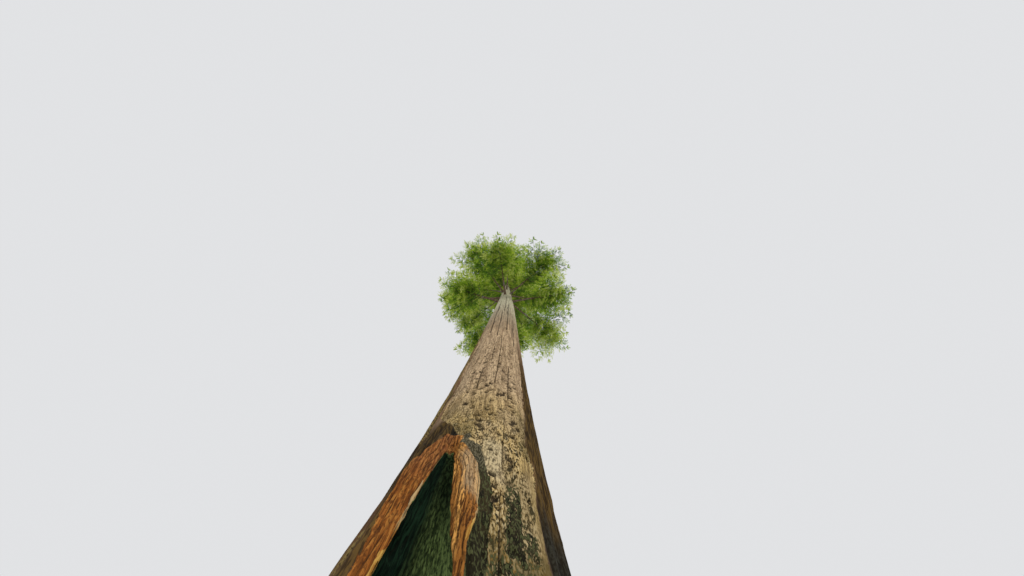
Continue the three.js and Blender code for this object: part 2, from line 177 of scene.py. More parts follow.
# How far these stand out of the skin or go into it, in metres.
RIDGE_DEPTH = 0.034
WOOD_SUNK = 0.012
CHAR_SUNK = 0.008
KNOB_RISE = 0.022
ROPE_DEPTH = 0.010
RIB_DEPTH = 0.020
PIT_DEPTH = 0.024
CRACK_DEPTH = 0.018
CRACK_BEND = 1.3  # degrees to each side of a straight line
PIT_CELL = 0.1  # the width of a cell of the grid that the pits stand on
PIT_SHARE = 0.62  # how many of the cells have a pit
PIT_SIZES = (0.010, 0.030)  # the least radius, and how much may be added to it
MORE_PITS = (3.4, 4.2)  # from the first height to the second the pits get more and larger
PITS_ADDED = (0.1, 0.008)  # what that adds to their share and to their least radius
PITTED_RADIUS = 0.62  # the trunk's radius where the pits are
KNOT_SIZE = (1.7, 0.034)  # half the width in degrees, and half the height
WOOD_TOP = 10.0  # where the bark closes over the bare wood
WOOD_TOP_FADE = 3.0  # metres above and below that in which it does
# Cracks: degrees from the front, the heights they run between, and half their width in degrees.
CRACKS = (
    (34, 3.2, 4.35, 0.7), (31, 0.9, 3.0, 0.7), (-1, 5.0, 6.0, 0.9), (21, 5.2, 8.6, 0.9),
    (39, 4.8, 6.4, 0.9), (9, 6.3, 7.6, 0.9), (31, 9.5, 15.5, 3.0), (8, 8.5, 12.5, 2.2),
    (-14, 9.0, 17.0, 2.6), (52, 8.0, 13.0, 2.4), (17, 13.0, 19.0, 3.0), (-38, 7.5, 12.0, 2.2),
)
# Knot holes: degrees from the front, and height.
KNOTS = (
    (-10, 3.80), (4, 3.58), (8, 4.45), (25, 4.82), (33, 4.96),
    (10, 4.13), (19, 4.18), (-8, 4.54), (25, 4.20), (13, 3.86),
)
# Borders on the skin, from the ground up: a height, and degrees from the front.
RIGHT_LIP_ENDS = (
    (0, 36), (1.2, 27), (2.1, 18), (2.3, 17), (2.65, 20), (2.95, 19), (3.15, 16), (3.3, 10), (3.4, 2),
)
CHAR_ENDS = ((0, 40), (1.2, 31), (2.2, 26.5), (2.6, 27.5), (2.9, 27), (3.2, 21), (3.55, 15))
WOOD_STARTS = ((3.3, 6), (3.6, 1), (3.8, -7), (4.05, -21), (4.4, -34), (5.5, -36), (9, -46))
WOOD_ENDS = ((0, 44), (1.5, 50), (2.4, 53), (3.1, 56), (3.55, 60), (3.9, 53), (5, 63), (6.7, 68), (9, 66))
SMOOTH_STARTS = ((2.5, 51.5), (3.0, 52.5), (3.2, 51.5), (3.4, 45), (3.6, 47))
# This border is counted from the mouth's left edge.
LEFT_LIP_ENDS = (
    (0, 9), (2.1, 5.8), (2.36, 6.9), (2.6, 8.5), (2.9, 10.5), (3.0, 11), (3.3, 8), (3.5, 4),
)
# Patches on the skin: from and to so many degrees from the front and how soft those borders are,
# the same for the heights, and how strong the patch is. Far is past every point, for an open end.
FAR = 400
KNOB = ((-8, 2.5, 1.5), (3.40, 3.60, 0.04))
BLEACHED = ((17, 34, 3), (3.05, 3.65, 0.12))
ROTTEN = ((26, 51, 3), (-FAR, 2.475, 0.125))
CHARRED = (  # the last number is added where the skin is patchy
    ((34, 44, 2.5), (2.35, 3.15, 0.12), 0.57, 0.10),
    ((25, 51, 3), (-FAR, 2.5, 0.2), 0.50, 0.10),
    ((42, 51, 2), (2.46, 2.70, 0.05), 0.60, 0),
    # painted shade beside the knob's top, in the colour of char
    ((0, 9, 2), (3.48, 3.62, 0.03), 1, 0),
)
# Patches of painted shade on the bare wood; the third lies over the knob.
WOOD_SHADE_PATCHES = (
    ((34.5, FAR, 2.5), (-FAR, 3.3, 0.3), 0.40),
    ((46, FAR, 4), (3.6, 4.6, 0.15), 0.45),
    ((-30, 10, 5), (3.5, 3.95, 0.12), 0.55),
    ((-FAR, 2, 8), (3.9, 4.6, 0.25), 0.25),
)


def soft_noise(points):
    """Soft noise from -1 to 1. Each corner of the unit cube round a point has a value that its
    whole numbers always give, and the eight are blended by the eased distances to them."""
    base = np.floor(points).astype(np.int64)
    part = points - base
    eased = part * part * (3 - 2 * part)
    total = np.zeros(points.shape[:-1])
    for corner in np.ndindex(2, 2, 2):
        mixed = ((base + corner) * (73856093, 19349663, 83492791)).sum(-1) & 0xFFFFFF
        mixed = ((mixed ^ (mixed >> 11)) * 1274126177) & 0xFFFFFFF
        mixed = (mixed ^ (mixed >> 13)) & 0xFFFF
        weight = np.prod(np.where(corner, eased, 1 - eased), axis=-1)
        total += weight * (mixed / 32767.5 - 1)
    return total


def layered_noise(points, layers):
    """Soft noise with finer layers on it, each at twice the pace and half the strength."""
    return sum(soft_noise(points * 2**k + 7.3 * k) / 2**k for k in range(layers))


def window(value, low, high, soft):
    """1 from low to high, with both ends eased over twice the softness."""
    return smoothstep(value, low - soft, low + soft) * (1 - smoothstep(value, high - soft, high + soft))


def bark_ridges(angle, z):
    """Long ridges that part and join, from 0 in a furrow to 1 on a ridge: the lesser of two sets
    of even waves round the trunk, each bent sideways by soft noise of its own."""
    around = np.stack([np.cos(angle), np.sin(angle), z * 0.2], -1)
    bend = 2.6 * soft_noise(around * (2.3, 2.3, 2.4)) + 0.9 * soft_noise(around * (8, 8, 8) + 5)
    wild = 3.4 * soft_noise(around * (2.0, 2.0, 2.2) + 11) + 0.8 * soft_noise(around * (7, 7, 9) + 17)
    even = np.abs(np.sin(0.5 * RIDGES * angle + bend))
    wavy = np.abs(np.sin(0.5 * WAVY_RIDGES * angle - wild))
    return np.minimum(np.minimum(1, 1.4 * even), np.minimum(1, 0.1 + 1.5 * wavy)) ** 0.75


def pits(across, z):
    """Round holes in bare wood, from 0 beside a hole to 1 at its middle: one at most in each cell
    of a grid, at a place and of a size that the cell's numbers give."""
    column, row = np.floor(across / PIT_CELL), np.floor(z / PIT_CELL)
    more = smoothstep(z, *MORE_PITS)
    least, spread = PIT_SIZES
    more_share, more_radius = PITS_ADDED
    deepest = np.zeros(across.shape)
    for right, up in np.ndindex(3, 3):
        cell = np.stack([column + right - 1, row + up - 1, np.zeros(across.shape)], -1)
        lot = [0.5 + 0.5 * soft_noise(cell + (0, 0, 40 + k)) for k in range(4)]
        middle_x = (cell[..., 0] + lot[0]) * PIT_CELL
        middle_z = (cell[..., 1] + lot[1]) * PIT_CELL
        size = least + more_radius * more + spread * lot[2] ** 2
        size = np.where(lot[3] < PIT_SHARE + more_share * more, size, 1e-6)
        away = np.hypot(across - middle_x, (z - middle_z) * 0.8) / size
        deepest = np.maximum(deepest, 1 - smoothstep(away, 0.55, 1.15))
    return deepest


def border(z, pairs):
    """The angle of a border at each height, along straight stretches between its pairs."""
    return np.interp(z, [pair[0] for pair in pairs], [pair[1] for pair in pairs])


def skin_places(points, angle, deep):
    """Where each point lies on the skin: its height, its degrees from the front and past the left
    edge of the mouth, half the mouth's width, how patchy the skin is, and where the hollow, the
    right roll and the bare wood end. The degrees wander a little with soft noise, so that no
    border drawn by them is straight."""
    z = points[..., 2]
    half = np.degrees(mouth_half(z))
    wander = 1.2 * soft_noise(points * (7, 7, 2.0)) + 0.7 * soft_noise(points * (27, 27, 8) + 3)
    wander = wander * smoothstep(z, 0, 0.4)
    turn = np.degrees(angle + mouth_middle(z)) + wander
    patchy = smoothstep(layered_noise(points * (14, 14, 6) + 9, 3), -0.3, 0.35)
    return SimpleNamespace(
        points=points, angle=angle, deep=deep, z=z, half=half, turn=turn, plain_turn=turn - wander,
        past_left=-np.degrees(angle) - half - wander, patchy=patchy, inside=smoothstep(deep, 0, 0.05),
        lip_end=border(z, RIGHT_LIP_ENDS), wood_end=border(z, WOOD_ENDS),
    )


def patch(at, turns, heights):
    """1 on a patch of the skin between two turns and two heights, with soft borders."""
    return window(at.turn, *turns) * window(at.z, *heights)


def lips_and_knob(at):
    """The rolls of bark to the right and left of the mouth, and the knob that closes its top."""
    right = window(at.turn, -8, at.lip_end, 0.5) * (np.degrees(at.angle) > -at.half - 3)
    right = right * (1 - smoothstep(at.z, HOLLOW_TOP + 0.06, HOLLOW_TOP + 0.12))
    left = window(at.past_left, -8, border(at.z, LEFT_LIP_ENDS), 1.5)
    left = left * (1 - smoothstep(at.z, 3.5, 3.62))
    knob = patch(at, *KNOB)
    return np.maximum(np.maximum(right, left), knob) * (1 - at.inside), knob


def bare_wood(at, lip):
    """The scar's bare wood. It runs out at an uneven height, where the bark closes over it."""
    start = np.where(at.z < HOLLOW_TOP, at.lip_end, border(at.z, WOOD_STARTS))
    top = WOOD_TOP + 1.6 * soft_noise(at.points * (9, 9, 0.5) + 21)
    wood = window(at.turn, start, at.wood_end, 0.9) * smoothstep(at.z, 0.1, 0.7)
    return wood * (1 - smoothstep(at.z, top - WOOD_TOP_FADE, top + WOOD_TOP_FADE)) * (1 - lip)


def charring(at, lip):
    """The charred band beside the right roll, and charred patches, one of them painted shade."""
    char = window(at.turn, at.lip_end - 4, border(at.z, CHAR_ENDS), 1.2) * (1 - smoothstep(at.z, 3.46, 3.56))
    for turns, heights, strength, more in CHARRED:
        char = np.maximum(char, patch(at, turns, heights) * (strength + more * at.patchy))
    return char * (1 - lip) * (1 - at.inside)


def painted_shade_bands(at):
    """Painted shade on the bark beside the scar: a broad band to the right of the bare wood and one to
    the left of the left roll that starts with its darkest strip, and where the shade is brown, not black."""
    right = smoothstep(at.turn, at.wood_end - 1, at.wood_end + 1) * (1 - smoothstep(at.turn, 90, 115))
    right = right * (1 - smoothstep(at.z, 6, 9)) * smoothstep(at.z + 0.5 * at.patchy, 0.5, 2.4)
    over_mouth = at.z > 3.5
    left = smoothstep(at.past_left, np.where(over_mouth, -5, 3), np.where(over_mouth, -1, 7))
    left = left * window(at.z, 0.5, 4.1, 0.2) * (1 - smoothstep(at.past_left, 40, 60))
    strip = 0.95 * (1 - smoothstep(at.past_left, 8.5, 10.5))
    left = left * np.maximum(0.55 + 0.45 * smoothstep(at.z, 2.6, 3.1), strip)
    brown_right = smoothstep(at.turn, 0, 10) * smoothstep(at.z, 2.7, 3.3)
    brown_left = smoothstep(at.past_left, 1, 3) * (1 - 0.3 * smoothstep(at.z, 2.6, 3.0))
    bark_shade = np.maximum(right, left) * (1 - at.inside)
    return {"bark_shade": bark_shade, "tawny": np.maximum(brown_right, brown_left)}


def mossy_bark(at, wood):
    """The brown moss: high on the left, low beside the left roll, and round the back of the foot."""
    high = window(at.turn, -95, -38, 8) * smoothstep(at.z, 3.4, 4.6) * (1 - smoothstep(at.z, 9, 13))
    beside = window(at.past_left, 9.5, 45, 1) * (1 - smoothstep(at.z, 2.3, 2.8))
    beside = beside * (0.35 + 0.3 * at.patchy)
    behind = window(np.abs(at.turn), 120, 190, 20) * (1 - smoothstep(at.z, 0.8, 3.2)) * at.patchy
    return np.maximum(np.maximum(high, beside), behind) * (1 - wood) * (1 - at.inside)


def lip_tones(at, lip):
    """The tones of the rolls: pale painted highlights on the rims along their edges, scales on the right
    roll's outer side, and its golden face."""
    rim_highlight = window(at.past_left, -3, 1.8, 0.6) * (1 - smoothstep(at.z, 2.2, 2.45))
    rim_highlight = np.maximum(rim_highlight, 0.8 * window(at.past_left, -2, 0.7, 0.4) * window(at.z, 2.42, 2.95, 0.1))
    rim_highlight = np.maximum(rim_highlight, 0.8 * patch(at, (at.lip_end - 1.1, at.lip_end + 1, 0.4), (2.3, 3.05, 0.1)))
    outer = smoothstep(at.turn, at.lip_end - 13, at.lip_end - 4) * (at.turn > 0)
    scaly = lip * outer * window(at.z, 2.72, 3.25, 0.18)
    gilt = lip * smoothstep(at.turn, -6, 2) * (1 - smoothstep(at.z, 3.6, 3.65))
    return {"rim_highlight": rim_highlight * (1 - at.inside), "scaly": scaly, "gilt": gilt}


def wood_tones(at, wood):
    """The tones of the bare wood: smooth and pale at its right border, rotten low down, bleached
    above the charred band, and darkened by painted shade low down and in patches."""
    painted_wood_shade = (0.62 + 0.18 * smoothstep(at.turn, 36, 44)) * (1 - smoothstep(at.z, 2.35, 2.8))
    for turns, heights, strength in WOOD_SHADE_PATCHES:
        painted_wood_shade = np.maximum(painted_wood_shade, strength * patch(at, turns, heights))
    pale = patch(at, (border(at.z, SMOOTH_STARTS), 56, 0.8), (1.2, 3.55, 0.1))
    return {"pale": pale, "rot": wood * patch(at, *ROTTEN), "bleached": patch(at, *BLEACHED), "painted_wood_shade": painted_wood_shade}


def shade_in_hollow(at):
    """Painted shade in the hollow: all of its left side, a little of its right, and its upper end."""
    across = np.degrees(at.angle) / np.maximum(at.half, 1)
    shade = np.maximum(smoothstep(-across, 0.08, 0.68), 0.3 * smoothstep(across, 0.2, 0.6))
    return at.inside * np.maximum(shade, 0.85 * smoothstep(at.z, 2.65, 3.1))


def holes_and_cracks(at, pale):
    """Pits all over the bare wood but its smooth pale part, the larger knot holes, and the long
    cracks, whose lines bend with soft noise."""
    pit = pits(np.radians(at.plain_turn) * PITTED_RADIUS, at.z)
    pit = pit * (1 - pale) * window(at.z, 1.5, 7.6, 0.4)
    half_width, half_height = KNOT_SIZE
    for turn, height in KNOTS:
        away = np.hypot((at.plain_turn - turn) / half_width, (at.z - height) / half_height)
        pit = np.maximum(pit, 1 - smoothstep(away, 0.6, 1.25))
    crack = np.zeros(at.z.shape)
    for k, (turn, low, high, width) in enumerate(CRACKS):
        up = np.stack([at.z * 1.7, at.z * 0 + k, at.z * 0], -1)
        bent = at.plain_turn + CRACK_BEND * soft_noise(up)
        line = 1 - smoothstep(np.abs(bent - turn) / width, 0.25, 1)
        crack = np.maximum(crack, line * window(at.z, low, high, 0.1))
    return pit, crack


def trunk_skin(points, angle, deep):
    """What covers each point, as shares from 0 to 1, and how far it stands out of the plain form:
    ridges on the bark, grain, pits and cracks on the wood, ropes on the rolls, ribs in the hollow."""
    at = skin_places(points, angle, deep)
    z, inside = at.z, at.inside
    lip, knob = lips_and_knob(at)
    wood = bare_wood(at, lip)
    char = charring(at, lip)
    cover = {"wood": wood, "char": char, "lip": lip, "hollow": inside, "shade": shade_in_hollow(at)}
    cover["moss"] = mossy_bark(at, wood)
    cover.update({**painted_shade_bands(at), **lip_tones(at, lip), **wood_tones(at, wood)})

    pit, crack = holes_and_cracks(at, cover["pale"])
    pit, crack = pit * wood * (1 - 0.7 * char), crack * (1 - lip)
    ridge = bark_ridges(angle + mouth_middle(z), z)
    offset = np.where(angle > 0, at.turn - at.lip_end, at.past_left)
    rope = np.abs(np.sin(np.pi * (offset / ROPE_WIDTH + 0.6 * soft_noise(points * (9, 9, 2.4) + 31))))
    rope = np.minimum(1, 1.5 * rope)
    rib = np.abs(np.sin(np.pi * (RIBS * deep + 0.9 * soft_noise(points * (4, 4, 0.9) + 2))))

    girth = np.minimum(1, trunk_radius(z, 0) / FULL_GIRTH) ** 0.8
    fibre = soft_noise(points * (48, 48, 2.6))
    grain = layered_noise(points * (8, 8, 1.3) + 13, 3)
    blocks = layered_noise(points * (17, 17, 9) + 4, 2)
    on_bark = girth * (RIDGE_DEPTH * (ridge - 0.62) + 0.004 * fibre)
    on_wood = 0.006 * grain + 0.002 * fibre - PIT_DEPTH * pit - CRACK_DEPTH * crack - WOOD_SUNK
    on_lip = ROPE_DEPTH * (rope - 0.6) + 0.006 * blocks + 0.003 * fibre + KNOB_RISE * knob
    in_hollow = RIB_DEPTH * (rib - 0.5) + 0.016 * blocks + 0.02 * grain
    stands_out = on_bark + (on_wood - on_bark) * wood
    stands_out = stands_out + (on_lip - stands_out) * lip + CHAR_SUNK * (blocks - 1) * char * wood
    room = np.minimum(1, 4 * hollow_share(z))
    stands_out = stands_out * (1 - inside) + in_hollow * inside * room

    # The share of painted shade: in the bark's furrows, between the ropes, in pits and cracks, and between
    # the ribs.
    furrow = (1 - ridge) * (1 - wood) * (1 - lip) + (1 - rope) * lip
    furrow = np.maximum(furrow, np.maximum(pit, crack)) * (1 - inside) + 0.7 * (1 - rib) * inside
    cover["furrow"] = furrow
    return cover, stands_out


def level_normals(points):
    """The level direction out of closed rings: square to the way round each ring and to the way up."""
    round_ring = np.roll(points, -1, axis=1) - np.roll(points, 1, axis=1)
    out = np.stack([round_ring[..., 1], -round_ring[..., 0], np.zeros(points.shape[:2])], -1)
    return out / np.maximum(np.linalg.norm(out, axis=-1, keepdims=True), 1e-9)


def add_mesh(name, points, faces, cover=None):
    """A mesh object from points and from arrays of faces with equally many corners each. Faces of
    four corners are shaded as one smooth skin, and all others flat with sharp edges."""
    mesh = bpy.data.meshes.new(name)
    corners = np.concatenate([np.ravel(f) for f in faces]).astype(np.int32)
    sizes = np.concatenate([np.full(len(f), np.shape(f)[1]) for f in faces])
    mesh.vertices.add(len(points))
    mesh.vertices.foreach_set("co", np.ravel(points).astype(np.float32))
    mesh.loops.add(len(corners))
    mesh.loops.foreach_set("vertex_index", corners)
    mesh.polygons.add(len(sizes))
    mesh.polygons.foreach_set("loop_start", (np.cumsum(sizes) - sizes).astype(np.int32))
    mesh.update(calc_edges=True)
    mesh.polygons.foreach_set("use_smooth", sizes == 4)
    edge_of_corner = np.empty(len(corners), np.int32)
    mesh.loops.foreach_get("edge_index", edge_of_corner)
    sharp_edges = np.zeros(len(mesh.edges), bool)
    sharp_edges[edge_of_corner[np.repeat(sizes != 4, sizes)]] = True
    mesh.edges.foreach_set("use_edge_sharp", sharp_edges)
    for label, values in (cover or {}).items():
        data = mesh.attributes.new(label, "FLOAT", "POINT").data
        data.foreach_set("value", np.ravel(values).astype(np.float32))
    mesh.validate()
    piece = bpy.data.objects.new(name, mesh)
    bpy.context.scene.collection.objects.link(piece)
    return piece


def ring_faces(rings, count):
    """The faces of a closed skin over rings of equally many points, from the lowest ring up, with
    one flat face over each end."""
    first = np.arange(rings - 1)[:, None] * count
    here, there = np.arange(count)[None], np.roll(np.arange(count), -1)[None]
    skin = np.stack([first + here, first + there, first + count + there, first + count + here], -1)
    return [skin.reshape(-1, 4), np.arange(count)[None, ::-1], (rings - 1) * count + np.arange(count)[None]]


class Value:
    """A socket of a shader node. Sums, differences and products with it add their Math nodes."""

    def __init__(self, finish, socket):
        self.finish, self.socket = finish, socket

    def math(self, operation, a, b):
        return self.finish.node("ShaderNodeMath", {"operation": operation}, {0: a, 1: b})

    def __add__(self, other):
        return self.math("ADD", self, other)

    def __sub__(self, other):
        return self.math("SUBTRACT", self, other)

    def __rsub__(self, other):
        return self.math("SUBTRACT", other, self)

    def __mul__(self, other):
        return self.math("MULTIPLY", self, other)

    __radd__ = __add__
    __rmul__ = __mul__


class Finish:
    """A material whose nodes are added one by one."""

    def __init__(self, name):
        self.material = bpy.data.materials.new(name)
        self.material.use_nodes = True
        self.material.node_tree.nodes.clear()

    def node(self, kind, settings, values, output=0):
        """Adds a node, sets it up, fills or links its sockets, and returns one of its outputs, if
        it has any."""
        made = self.material.node_tree.nodes.new(kind)
        for key, setting in settings.items():
            setattr(made, key, setting)
        for key, value in values.items():
            if isinstance(value, Value):
                self.material.node_tree.links.new(value.socket, made.inputs[key])
            else:
                made.inputs[key].default_value = value
        return Value(self, made.outputs[output]) if made.outputs else None

    def cover(self, label):
        """A share from 0 to 1 that the mesh holds at each point."""
        return self.node("ShaderNodeAttribute", {"attribute_name": label}, {}, "Fac")

    def noise(self, across, along, detail=3.0):
        """Noise with so many waves a metre across the trunk and along it."""
        place = self.node("ShaderNodeTexCoord", {}, {}, "Object")
        paces = {0: place, 1: (across, across, along)}
        place = self.node("ShaderNodeVectorMath", {"operation": "MULTIPLY"}, paces)
        return self.node("ShaderNodeTexNoise", {}, {"Vector": place, "Scale": 1.0, "Detail": detail})

    def eased(self, value, low, high, most=1.0):
        """0 up to low and the most from high on, or the other way round where low is above high."""
        settings = {"interpolation_type": "SMOOTHSTEP"}
        return self.node("ShaderNodeMapRange", settings, {0: value, 1: low, 2: high, 4: most})

    def blend(self, share, first, second):
        """The first colour where the share is 0 and the second where it is 1."""
        first = first if isinstance(first, Value) else (*first, 1)
        second = second if isinstance(second, Value) else (*second, 1)
        return self.node("ShaderNodeMix", {"data_type": "RGBA"}, {0: share, 6: first, 7: second}, 2)

    def laid(self, first, second, value, low, high, most=1.0):
        """The second colour laid over the first: not at all up to low, and to the most from high on."""
        return self.blend(self.eased(value, low, high, most), first, second)

    def surface(self, colour, roughness, shine, relief=None):
        """A rough skin of this colour. Its relief is a strength, a depth and a height."""
        values = {"Base Color": colour, "Roughness": roughness, "Specular IOR Level": shine}
        if relief:
            uneven = dict(zip(("Strength", "Distance", "Height"), relief))
            values["Normal"] = self.node("ShaderNodeBump", {}, uneven)
        return self.node("ShaderNodeBsdfPrincipled", {}, values)

    def output(self, shader):
        """Ends the material with this shader."""
        self.node("ShaderNodeOutputMaterial", {}, {"Surface": shader})
        return self.material


skin = Finish("furrowed_bark_and_bare_wood")
fibres = skin.noise(95, 3.0, 4.0)
streaks = skin.noise(19, 1.0)
blotches = skin.noise(2.6, 1.3, 2.0)
patches = skin.noise(27, 9, 6.0)
flecks = skin.noise(90, 30, 5.0)
crumbs = skin.noise(38, 20, 4.0)
ragged = 0.6 * (patches - 0.5) + (flecks - 0.5)


def sharp(label):
    """A share of the skin with its soft border made ragged by the patches and flecks."""
    return skin.eased(skin.cover(label) + ragged, 0.44, 0.56)


place = skin.node("ShaderNodeTexCoord", {}, {}, "Object")
height = skin.node("ShaderNodeSeparateXYZ", {}, {0: place}, 2)
# The bark: brown streaks and grey blotches, paler up the trunk, with dark fibres and bands of painted shade.
bark = skin.laid((0.14, 0.073, 0.038), (0.31, 0.185, 0.10), streaks, 0.35, 0.66)
bark = skin.laid(bark, (0.25, 0.195, 0.13), blotches, 0.42, 0.66, 0.7)
bark = skin.laid(bark, (0.38, 0.28, 0.175), height, 6.0, 10.0, 0.75)
bark = skin.laid(bark, (0.60, 0.58, 0.42), height, 9.0, 17.0, 0.85)
bark = skin.laid(bark, (0.08, 0.048, 0.028), fibres, 0.50, 0.60, 0.5)
# Painted shade in bands beside the scar: near black, and brown where tawny.
dim = skin.laid((0.006, 0.007, 0.005), (0.026, 0.028, 0.021), flecks, 0.42, 0.60)
brown = skin.laid((0.024, 0.014, 0.004), (0.11, 0.066, 0.018), fibres, 0.44, 0.58)
bark = skin.blend(skin.cover("bark_shade") * 0.96, bark, skin.blend(skin.cover("tawny"), dim, brown))
# The bare wood: tan streaks, greyer higher up, with orange rot, dark and pale spots, and painted shade.
wood = skin.laid((0.28, 0.19, 0.072), (0.60, 0.43, 0.18), streaks, 0.38, 0.62)
wood = skin.laid(wood, (0.50, 0.37, 0.20), blotches, 0.47, 0.62, 0.75)
wood = skin.blend(skin.cover("bleached") * 0.7, wood, (0.55, 0.46, 0.29))
paler = skin.laid((0.36, 0.25, 0.155), (0.58, 0.42, 0.27), streaks, 0.38, 0.62)
wood = skin.laid(wood, paler, height, 3.9, 5.6, 0.9)
wood = skin.laid(wood, (0.46, 0.25, 0.04), crumbs, 0.50, 0.57, skin.cover("rot") * 0.8)
wood = skin.laid(wood, (0.14, 0.095, 0.045), fibres, 0.52, 0.60, 0.65)
plain = skin.laid(wood, (0.10, 0.065, 0.025), flecks, 0.54, 0.62, 0.4)
worn = 1 - skin.eased(height, 3.3, 4.6, 0.55) - skin.cover("bleached") * 0.4
wood = skin.laid(wood, (0.045, 0.032, 0.015), flecks, 0.52, 0.58, worn)
wood = skin.laid(wood, (0.035, 0.027, 0.014), patches, 0.55, 0.61, worn)
wood = skin.laid(wood, (0.74, 0.59, 0.33), flecks, 0.46, 0.38, worn * 0.65)
wood = skin.blend(sharp("pale") * 0.8, wood, plain)
# Painted shade on the bare wood, low down and in patches.
wood = skin.blend(skin.cover("painted_wood_shade"), wood, (0.060, 0.048, 0.015))
# The rolls: red-brown, golden on the right one's face, with fibres, scales, spots and painted highlights.
lip = skin.laid((0.20, 0.066, 0.013), (0.34, 0.120, 0.024), streaks, 0.36, 0.64)
lip = skin.laid(lip, (0.50, 0.23, 0.05), fibres, 0.50, 0.57, 0.45)
lip = skin.laid(lip, (0.36, 0.18, 0.10), height, 2.8, 3.2, 0.2)
gilt = skin.laid((0.34, 0.140, 0.030), (0.85, 0.43, 0.11), streaks, 0.42, 0.58)
lip = skin.blend(skin.cover("gilt") * 0.85, lip, gilt)
lip = skin.laid(lip, (0.06, 0.018, 0.005), fibres, 0.48, 0.41, skin.cover("gilt") * 0.4 + 0.5)
lip = skin.laid(lip, (0.46, 0.345, 0.20), skin.cover("scaly") + 0.6 * ragged, 0.15, 0.75, 0.65)
lip = skin.laid(lip, (0.06, 0.022, 0.008), flecks, 0.53, 0.60, 0.6)
lip = skin.laid(lip, (0.055, 0.022, 0.010), patches, 0.57, 0.64, 0.5)
# Painted highlight along the rims of the rolls, paler higher up.
rim_highlight = skin.laid((0.62, 0.38, 0.090), (0.30, 0.14, 0.026), fibres, 0.42, 0.60)
rim_highlight = skin.laid(rim_highlight, (0.56, 0.42, 0.24), height, 2.4, 2.6, 0.7)
lip = skin.blend(sharp("rim_highlight") * 0.85, lip, rim_highlight)
# The char, ashen higher up, and the brown moss.
char = skin.laid((0.003, 0.004, 0.002), (0.075, 0.082, 0.034), flecks, 0.48, 0.61)
ashen = skin.laid((0.014, 0.016, 0.010), (0.14, 0.122, 0.077), flecks, 0.46, 0.58)
char = skin.laid(char, ashen, height, 3.05, 3.3)
moss = skin.laid((0.060, 0.042, 0.016), (0.25, 0.18, 0.065), flecks, 0.42, 0.58)
# The hollow: green ribs, near black under painted shade, and soot low down.
burnt = skin.laid((0.055, 0.085, 0.030), (0.29, 0.40, 0.135), 0.5 * fibres + 0.5 * flecks, 0.43, 0.58)
# The colour of the painted shade in the hollow.
hollow_shade = skin.laid((0.002, 0.007, 0.004), (0.009, 0.028, 0.014), fibres, 0.42, 0.60)
burnt = skin.blend(skin.cover("shade"), burnt, hollow_shade)
soot = skin.laid((0.010, 0.012, 0.008), (0.050, 0.056, 0.036), fibres, 0.44, 0.60)
burnt = skin.laid(soot, burnt, height, 1.2, 2.1)
# All of them together, with painted shade in furrows, pits, cracks and between ribs, and a fine relief.
colour = skin.blend(sharp("wood"), bark, wood)
colour = skin.blend(sharp("char") * 0.94, colour, char)
colour = skin.blend(sharp("moss") * skin.eased(streaks, 0.3, 0.55), colour, moss)
colour = skin.blend(sharp("lip"), colour, lip)
colour = skin.blend(sharp("hollow"), colour, burnt)
# Painted shade in the furrows, pits, cracks and between the ribs.
colour = skin.laid(colour, (0.018, 0.013, 0.009), skin.cover("furrow"), 0.25, 1.0, 0.88)
trunk_material = skin.output(skin.surface(colour, 0.95, 0.05, (0.7, 0.008, fibres + flecks)))

# Each stretch of the trunk is one piece: its name, the spacing of its rings from each height to
# the next, and how many columns of the full ring it skips.
STRETCHES = (
    ("trunk_foot", ((0.0, 0.026), (2.2, 0.013), (3.4, None)), 1),
    ("trunk_middle", ((3.4, 0.022), (5.6, 0.045), (9.0, None)), 1),
    ("trunk_upper", ((9.0, 0.1), (18.0, 0.28), (TRUNK_TOP, None)), 2),
)
for name, spacings, skip in STRETCHES:
    heights = [
        np.linspace(low, high, round((high - low) / spacing), endpoint=False)
        for (low, spacing), (high, _) in zip(spacings, spacings[1:])
    ]
    heights = np.concatenate([*heights, [spacings[-1][0]]])
    points, angle, deep = trunk_grid(heights)
    cover, stands_out = trunk_skin(points, angle, deep)
    points = points + level_normals(points) * stands_out[..., None]
    points, cover = points[:, ::skip], {label: share[:, ::skip] for label, share in cover.items()}
    rings, count = points.shape[:2]
    piece = add_mesh(name, points.reshape(-1, 3), ring_faces(rings, count), cover)
    piece.data.materials.append(trunk_material)
    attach(piece, "root")
    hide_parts("trunk")

# The boughs
# The sixteen lowest limbs are bare for the first part of their reach. Each is one tapering limb
# of thin rough bark that grows out of the trunk with a swollen collar.
CROWN_FOOT = 18.2
CROWN_HEAD = 38.5
CROWN_RADIUS = 3.5
CROWN_FOOT_REACH = 0.62  # the reach at the crown's foot, as a share of its radius
CROWN_ROUNDED = 0.18  # the share of the crown's height in which its foot is rounded
CROWN_POWER = 0.62  # under 1, so the crown stays full to near its point
LIMBS = 41
LIMB_CROWDING = 0.93  # under 1, so the limbs stand closer higher up
BOUGHS = 16
FIRST_TURN = 69.0
GOLDEN_TURN = 137.508
TURN_SPREAD = 16
LEAST_REACH = 0.84
REACH_SPREAD = 0.32
RISES = (-0.08, 0.6)  # of the lowest limb and the highest, for each metre of its run
RISE_SPREAD = 0.16
SAGS = (0.3, 0.06)
BARE_SHARE = 0.42
BOUGH_TAPER = 0.52
LIMB_RADIUS = (0.022, 0.1)  # in metres, and the share of the trunk's radius that is added
COLLAR = (0.9, 0.10)  # how much thicker a bough starts, and the share of it in which that fades
KNOBBLES = (0.10, 0.05)  # how far the coarse and the fine unevenness of a bough go
INSET = 0.8  # where in the trunk a limb's line starts, as a share of its radius
BOUGH_SIDES = 16
BOUGH_RINGS = 30
